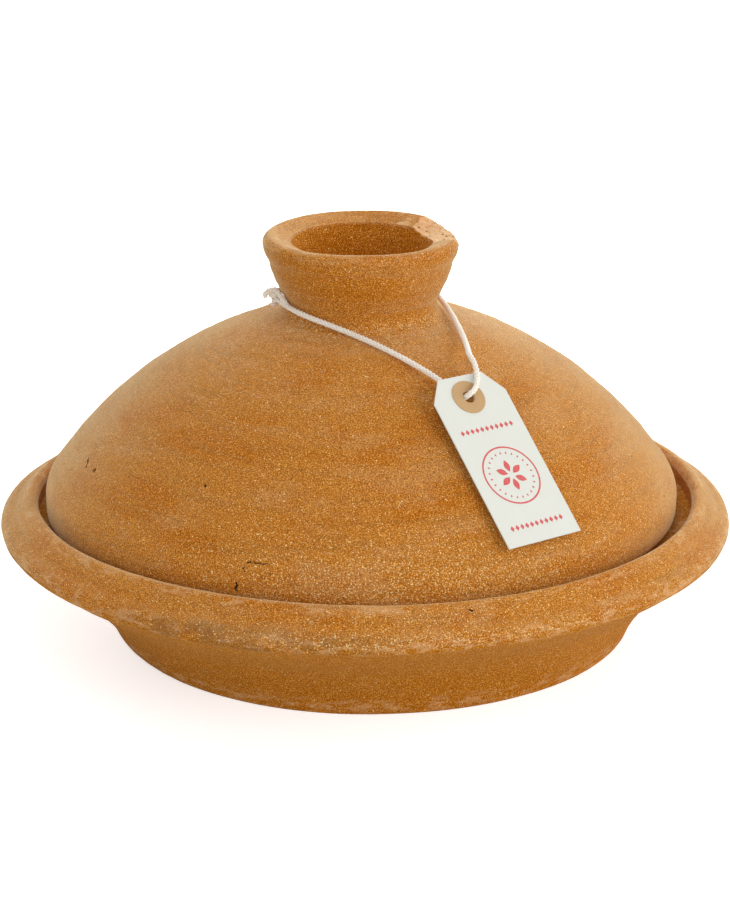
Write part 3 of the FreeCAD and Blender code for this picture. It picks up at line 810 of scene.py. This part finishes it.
def print_outlines():
    """Two rows of lozenges and a round motif of leaves inside a dotted ring."""
    shapes = []
    for up in (UPPER_ROW, LOWER_ROW):
        for i in range(ROW_COUNT):
            across = CARD_MIDDLE + (i - (ROW_COUNT - 1) / 2) * ROW_STEP
            shapes.append(lozenge(across, up, 1.8, 2.45, turn=-6))
    for i in range(24):
        angle = 15.0 * i
        spot = Vector((0, 9.6))
        spot.rotate(Matrix.Rotation(math.radians(angle), 2))
        shapes.append(lozenge(CARD_MIDDLE + spot.x, MOTIF_HEIGHT + spot.y, 0.8, 1.3, turn=angle))
    for i in range(6):
        shapes.append(petal_outline(CARD_MIDDLE, MOTIF_HEIGHT, 6.6, 2.6, 60.0 * i))
    return shapes + ring_band(CARD_MIDDLE, MOTIF_HEIGHT, 12.1, 0.7)


def make_print(material):
    """Ink as thin closed plates that lie on the card."""
    place = card_place()
    points, faces = [], []
    for outline in print_outlines():
        start, count = len(points), len(outline)
        for height in (0.0, INK_THICKNESS):
            points += [tuple(place @ Vector((x, y, height))) for x, y in outline]
        below = [start + i for i in range(count)]
        above = [corner + count for corner in below]
        faces += [tuple(reversed(below)), tuple(above)]
        for i in range(count):
            following = (i + 1) % count
            faces.append((below[i], below[following], above[following], above[i]))
    piece = build("tag_print", points, faces, material, smooth=False)
    form = bmesh.new()
    form.from_mesh(piece.data)
    bmesh.ops.recalc_face_normals(form, faces=form.faces)
    form.to_mesh(piece.data)
    form.free()
    return piece


# ---------------------------------------------------------------- materials
class Shader:
    """A material's nodes, made one at a time."""

    def __init__(self, name):
        self.material = bpy.data.materials.new(name)
        self.material.use_nodes = True
        self.tree = self.material.node_tree
        self.surface = self.tree.nodes["Principled BSDF"]
        self.place = self.tree.nodes.new("ShaderNodeTexCoord").outputs["Object"]

    def connect(self, value, socket):
        """Link a socket, or set a plain value."""
        if isinstance(value, bpy.types.NodeSocket):
            self.tree.links.new(value, socket)
        else:
            socket.default_value = value

    def stretched(self, scale):
        """The place on the object, scaled along each axis."""
        node = self.tree.nodes.new("ShaderNodeMapping")
        self.connect(self.place, node.inputs["Vector"])
        node.inputs["Scale"].default_value = scale
        return node.outputs["Vector"]

    def noise(self, size, detail=2.0, roughness=0.5, place=None):
        """Cloudy noise whose features are about size millimetres."""
        node = self.tree.nodes.new("ShaderNodeTexNoise")
        self.connect(place or self.place, node.inputs["Vector"])
        node.inputs["Scale"].default_value = 1 / (size * MM)
        node.inputs["Detail"].default_value = detail
        node.inputs["Roughness"].default_value = roughness
        return node.outputs["Fac"]

    def cells(self, size):
        """The distance to the middle of grains about size millimetres apart, and a colour for each."""
        node = self.tree.nodes.new("ShaderNodeTexVoronoi")
        self.connect(self.place, node.inputs["Vector"])
        node.inputs["Scale"].default_value = 1 / (size * MM)
        return node.outputs["Distance"], node.outputs["Color"]

    def math(self, kind, first, second):
        """Two numbers multiplied, subtracted or compared."""
        node = self.tree.nodes.new("ShaderNodeMath")
        node.operation = kind
        self.connect(first, node.inputs[0])
        self.connect(second, node.inputs[1])
        return node.outputs[0]

    def ramp(self, value, low, high):
        """0 below low, 1 above high and smooth between. Low may be the larger of the two."""
        node = self.tree.nodes.new("ShaderNodeMapRange")
        node.interpolation_type = "SMOOTHSTEP"
        self.connect(value, node.inputs["Value"])
        flip = low > high
        node.inputs["From Min"].default_value = min(low, high)
        node.inputs["From Max"].default_value = max(low, high)
        node.inputs["To Min"].default_value = 1.0 if flip else 0.0
        node.inputs["To Max"].default_value = 0.0 if flip else 1.0
        return node.outputs["Result"]

    def blend(self, share, low, high):
        """A number between low and high."""
        node = self.tree.nodes.new("ShaderNodeMapRange")
        self.connect(share, node.inputs["Value"])
        node.inputs["To Min"].default_value = low
        node.inputs["To Max"].default_value = high
        return node.outputs["Result"]

    def parts(self, colour):
        """The three numbers of a colour."""
        node = self.tree.nodes.new("ShaderNodeSeparateColor")
        self.connect(colour, node.inputs["Color"])
        return list(node.outputs)

    def mix(self, share, first, second):
        """A colour between two others."""
        node = self.tree.nodes.new("ShaderNodeMix")
        node.data_type = "RGBA"
        self.connect(share, node.inputs["Factor"])
        self.connect(first, node.inputs[6])
        self.connect(second, node.inputs[7])
        return node.outputs[2]

    def painted(self, name):
        """A number that paint() gave the piece's points."""
        node = self.tree.nodes.new("ShaderNodeAttribute")
        node.attribute_name = name
        return node.outputs["Fac"]

    def bump(self, height, depth, under=None):
        """Bump of that depth in millimetres, on top of another one."""
        node = self.tree.nodes.new("ShaderNodeBump")
        node.inputs["Distance"].default_value = depth * MM
        self.connect(height, node.inputs["Height"])
        if under is not None:
            self.connect(under, node.inputs["Normal"])
        return node.outputs["Normal"]

    def finish(self, colour, roughness, normal):
        """Set what every material has, and give the material."""
        self.connect(colour, self.surface.inputs["Base Color"])
        self.connect(roughness, self.surface.inputs["Roughness"])
        self.connect(normal, self.surface.inputs["Normal"])
        return self.material


def srgb(red, green, blue):
    """A colour from its 0 to 255 display values."""
    parts = [v / 255 for v in (red, green, blue)]
    linear = [p / 12.92 if p <= 0.04045 else ((p + 0.055) / 1.055) ** 2.4 for p in parts]
    return (*linear, 1.0)


OCHRE = srgb(202, 129, 48)
DEEP_OCHRE = srgb(196, 115, 28)
DUSTY_CLAY = srgb(206, 146, 86)
# Painted shade: the darker, more saturated clay of the walls, undersides and hollows.
SHADED_CLAY = srgb(188, 112, 2)
STREAK = srgb(170, 112, 56)
DARK_GRAIN = srgb(96, 50, 8)
LIGHT_GRAIN = srgb(250, 196, 100)
# A painted glint: the bright colour that mica specks take where they catch the light.
MICA_GLINT = srgb(255, 234, 172)
BROKEN_CLAY = srgb(238, 190, 140)
BROKEN_PIT = srgb(132, 72, 30)
# Painted shade: the dark colour inside the cracks and holes.
CRACK_SHADE = srgb(70, 38, 16)
SMOKE = srgb(126, 98, 66)
SCUFF = srgb(230, 186, 134)
DUST_SHEEN = srgb(255, 242, 200)
CARD = (srgb(220, 221, 212), srgb(206, 203, 191))
KRAFT = (srgb(196, 160, 114), srgb(150, 116, 78))
INK = (srgb(206, 84, 84), srgb(228, 150, 144))
COTTON = (srgb(255, 251, 244), srgb(240, 228, 208))
FRAYED_COTTON = (srgb(236, 214, 178), srgb(206, 168, 118))
FLOOR_PAINT = (srgb(236, 236, 234), srgb(240, 240, 238))


def clay_colour(shader):
    """Ochre clay with patches and dust smeared round by the hands, a sandy grain, and painted shade."""
    patches = shader.noise(1, detail=4, roughness=0.6, place=shader.stretched((0.022, 0.022, 0.075)))
    dust = shader.noise(1, detail=4, roughness=0.65, place=shader.stretched((0.026, -0.026, 0.10)))
    streaks = shader.noise(1, detail=3, place=shader.stretched((0.03, 0.03, 0.6)))
    # The painted shade takes the deeper ochre too, as do the random warm patches.
    warm = shader.math("MAXIMUM", shader.ramp(patches, 0.46, 0.60), shader.painted("painted_shade"))
    colour = shader.mix(warm, OCHRE, DEEP_OCHRE)
    colour = shader.mix(shader.math("MULTIPLY", shader.ramp(dust, 0.48, 0.66), 0.6), colour, DUSTY_CLAY)
    colour = shader.mix(shader.math("MULTIPLY", shader.ramp(streaks, 0.5, 0.72), 0.35), colour, STREAK)
    # Painted shade: darker, more saturated clay where the pieces are painted for it.
    colour = shader.mix(shader.math("MULTIPLY", shader.painted("painted_shade"), 0.8), colour, SHADED_CLAY)
    sand = shader.noise(0.44, detail=0)
    colour = shader.mix(shader.math("MULTIPLY", shader.ramp(sand, 0.48, 0.30), 0.5), colour, DARK_GRAIN)
    return shader.mix(shader.math("MULTIPLY", shader.ramp(sand, 0.56, 0.72), 0.6), colour, LIGHT_GRAIN)


def add_marks(shader, colour):
    """Scuffed edges, smoke, the broken lip, and painted shade in the cracks, where the pieces are painted for
    them.
    """
    rub = shader.noise(1, detail=4, roughness=0.7, place=shader.stretched((0.12, 0.12, 0.4)))
    worn = shader.math("MULTIPLY", shader.painted("worn"), shader.ramp(rub, 0.48, 0.60))
    colour = shader.mix(shader.math("MULTIPLY", worn, 0.6), colour, SCUFF)
    soot = shader.noise(9, detail=4, roughness=0.65)
    smoke = shader.math("MULTIPLY", shader.painted("smoke"), shader.ramp(soot, 0.30, 0.66))
    colour = shader.mix(shader.math("MULTIPLY", smoke, 0.45), colour, SMOKE)
    crumbs = shader.noise(2.2, detail=4, roughness=0.75)
    broken = shader.mix(shader.ramp(crumbs, 0.46, 0.36), BROKEN_CLAY, BROKEN_PIT)
    colour = shader.mix(shader.math("MULTIPLY", shader.painted("broken"), 0.9), colour, broken)
    # Painted shade: the carved cracks and holes are darkened inside.
    return shader.mix(shader.ramp(shader.painted("cut"), 0.15, 0.7), colour, CRACK_SHADE)


def add_mica_glints(shader, colour):
    """Flakes of mica as bright specks, which are painted glints: a few everywhere, and many where the pieces
    are painted to sparkle.
    """
    distance, tint = shader.cells(0.52)
    pick, width, strength = shader.parts(tint)
    chosen = shader.math("LESS_THAN", pick, shader.blend(shader.painted("sparkle"), 0.035, 0.42))
    near_middle = shader.math("LESS_THAN", distance, shader.blend(width, 0.28, 0.55))
    spot = shader.math("MULTIPLY", chosen, near_middle)
    bright = shader.math("MULTIPLY", spot, shader.blend(strength, 0.25, 1.0))
    return shader.mix(bright, colour, MICA_GLINT), spot


def make_clay(name, sheen):
    """Unglazed clay. Dust that clings to it gives the sheen, most at its turned-away edges."""
    shader = Shader(name)
    colour = add_marks(shader, clay_colour(shader))
    colour, flakes = add_mica_glints(shader, colour)
    roughness = shader.math("SUBTRACT", 0.92, shader.math("MULTIPLY", flakes, 0.35))
    normal = shader.bump(shader.noise(0.5, detail=1, roughness=0.7), 0.34)
    normal = shader.bump(shader.noise(3.2, detail=1), 0.08, normal)
    pits = shader.ramp(shader.noise(2.4, detail=1), 0.24, 0.32)
    normal = shader.bump(pits, 0.2, normal)
    surface = shader.surface
    surface.inputs["Diffuse Roughness"].default_value = 0.7
    surface.inputs["Specular IOR Level"].default_value = 0.07
    surface.inputs["Sheen Weight"].default_value = sheen
    surface.inputs["Sheen Roughness"].default_value = 0.3
    surface.inputs["Sheen Tint"].default_value = DUST_SHEEN
    return shader.finish(colour, roughness, normal)


def make_paper(name, base, flecks, depth):
    """Paper or card: cloudy pulp, fine fibres and a few darker flecks."""
    shader = Shader(name)
    clouds = shader.noise(6, detail=3)
    colour = shader.mix(shader.math("MULTIPLY", clouds, 0.25), base, flecks)
    specks = shader.ramp(shader.noise(0.5, detail=2, roughness=0.8), 0.60, 0.74)
    colour = shader.mix(shader.math("MULTIPLY", specks, 0.5), colour, flecks)
    fibres = shader.noise(0.6, detail=3, place=shader.stretched((1, 1, 0.35)))
    shader.surface.inputs["Specular IOR Level"].default_value = 0.3
    return shader.finish(colour, 0.75, shader.bump(fibres, depth))


def make_ink():
    """Red ink that takes unevenly on the card."""
    shader = Shader("printing_ink")
    thin = shader.ramp(shader.noise(0.8, detail=3, roughness=0.7), 0.45, 0.75)
    colour = shader.mix(shader.math("MULTIPLY", thin, 0.4), *INK)
    return shader.finish(colour, 0.6, shader.bump(thin, 0.01))


def make_cotton(name, base, shade):
    """Spun cotton: streaky fibres with a soft sheen."""
    shader = Shader(name)
    fibres = shader.noise(0.25, detail=3, roughness=0.7)
    colour = shader.mix(shader.ramp(fibres, 0.40, 0.65), shade, base)
    surface = shader.surface
    surface.inputs["Specular IOR Level"].default_value = 0.2
    surface.inputs["Sheen Weight"].default_value = 0.8
    surface.inputs["Sheen Roughness"].default_value = 0.5
    return shader.finish(colour, 0.9, shader.bump(fibres, 0.05))


# ---------------------------------------------------------------- stage
LAMP_SIZE = 0.7
LAMP_DISTANCE = 1.3
LAMP_TARGET = Vector((0, 0, 0.07))


def area_light(name, bearing, height, power):
    """A soft square light that looks at the pot, from a bearing and height in degrees."""
    turn, rise = math.radians(bearing), math.radians(height)
    away = Vector((math.cos(turn) * math.cos(rise), math.sin(turn) * math.cos(rise), math.sin(rise)))
    light = bpy.data.lights.new(name, "AREA")
    light.size = LAMP_SIZE
    light.energy = power
    lamp = bpy.data.objects.new(name, light)
    lamp.location = LAMP_TARGET + away * LAMP_DISTANCE
    lamp.rotation_euler = (-away).to_track_quat("-Z", "Y").to_euler()
    bpy.context.scene.collection.objects.link(lamp)


FLOOR_REACH = 12


def make_floor():
    """A white table, lit a little more for the camera than the pot's own lights can do."""
    floor = bpy.data.meshes.new("floor")
    corners = [(-FLOOR_REACH, -FLOOR_REACH), (FLOOR_REACH, -FLOOR_REACH)]
    corners += [(FLOOR_REACH, FLOOR_REACH), (-FLOOR_REACH, FLOOR_REACH)]
    floor.from_pydata([(x, y, 0) for x, y in corners], [], [(0, 1, 2, 3)])
    shader = Shader("floor_paint")
    shader.surface.inputs["Emission Color"].default_value = (1, 1, 1, 1)
    seen = shader.tree.nodes.new("ShaderNodeLightPath").outputs["Is Camera Ray"]
    far = shader.tree.nodes.new("ShaderNodeVectorMath")
    far.operation = "LENGTH"
    shader.connect(shader.place, far.inputs[0])
    glow = shader.blend(shader.ramp(far.outputs["Value"], 0.5, 1.0), 0.62, 1.1)
    shader.connect(shader.math("MULTIPLY", seen, glow), shader.surface.inputs["Emission Strength"])
    tone = shader.mix(shader.noise(300), *FLOOR_PAINT)
    floor.materials.append(shader.finish(tone, 0.9, shader.bump(shader.noise(3), 0.01)))
    ground = bpy.data.objects.new("floor", floor)
    bpy.context.scene.collection.objects.link(ground)


def make_stage():
    """Soft lights all round, a little stronger behind, where they pick out the dusty edges."""
    make_floor()
    world = bpy.data.worlds.new("studio")
    world.use_nodes = True
    world.node_tree.nodes["Background"].inputs["Color"].default_value = (1, 1, 1, 1)
    world.node_tree.nodes["Background"].inputs["Strength"].default_value = 0.25
    bpy.context.scene.world = world
    area_light("key", bearing=-45, height=20, power=5.4)
    area_light("front", bearing=-90, height=20, power=1.8)
    area_light("front_top", bearing=-90, height=50, power=1.1)
    area_light("left_fill", bearing=-135, height=20, power=2.5)
    area_light("right_side", bearing=5, height=20, power=5.8)
    area_light("back_left", bearing=122, height=20, power=8.4)
    area_light("back_right", bearing=65, height=20, power=8)
    area_light("back_top", bearing=90, height=50, power=2.5)
    area_light("top", bearing=90, height=80, power=3.6)


def make_camera():
    """Long lens, a little above the pot, level across and tipped down to the middle of the dome."""
    data = bpy.data.cameras.new("camera")
    data.lens = 95.8
    data.sensor_width = 36
    data.clip_start = 0.05
    camera = bpy.data.objects.new("camera", data)
    camera.location = (0.0014, -0.9598, 0.3894)
    camera.rotation_euler = (math.radians(90 - 18.68), 0, 0)
    bpy.context.scene.collection.objects.link(camera)
    bpy.context.scene.camera = camera


# ---------------------------------------------------------------- assembly
def settle(piece, body, slot, *nodes):
    """Let a piece ride on its body and stand for its CAD nodes."""
    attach(piece, body)
    if nodes:
        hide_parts(*nodes)


def recolour(node, material):
    """Give a CAD node that stays a better material."""
    mesh = frame["nodes"][node].data
    mesh.materials.clear()
    mesh.materials.append(material)
    return frame["nodes"][node]


make_camera()
make_stage()
bpy.context.scene.view_settings.view_transform = "Standard"

cotton = make_cotton("cotton_twine", *COTTON)
frayed_cotton = make_cotton("frayed_cotton", *FRAYED_COTTON)
twine, fuzz, knot, frayed, twine_line = make_twine(cotton, frayed_cotton)
settle(twine, "string", "cotton_twine", "tag_string")
settle(fuzz, "string", "cotton_twine")
settle(knot, "string", "cotton_twine", "string_knot")
settle(frayed, "string", "cotton_twine")

card_paper = make_paper("card_paper", *CARD, depth=0.02)
kraft_paper = make_paper("kraft_paper", *KRAFT, depth=0.04)
card = recolour("tag_card", card_paper)
front_washer = recolour("tag_washer_front", kraft_paper)
back_washer = recolour("tag_washer_back", kraft_paper)
ornament = make_print(make_ink())
settle(ornament, "tag", "tag_paper")

clay = make_clay("unglazed_clay", sheen=0.9)
sheltered_clay = make_clay("sheltered_clay", sheen=0.1)
settle(make_dish(clay, sheltered_clay), "dish", "dish_clay", "base_dish")
settle(make_lid(clay, sheltered_clay), "lid", "lid_clay", "lid")
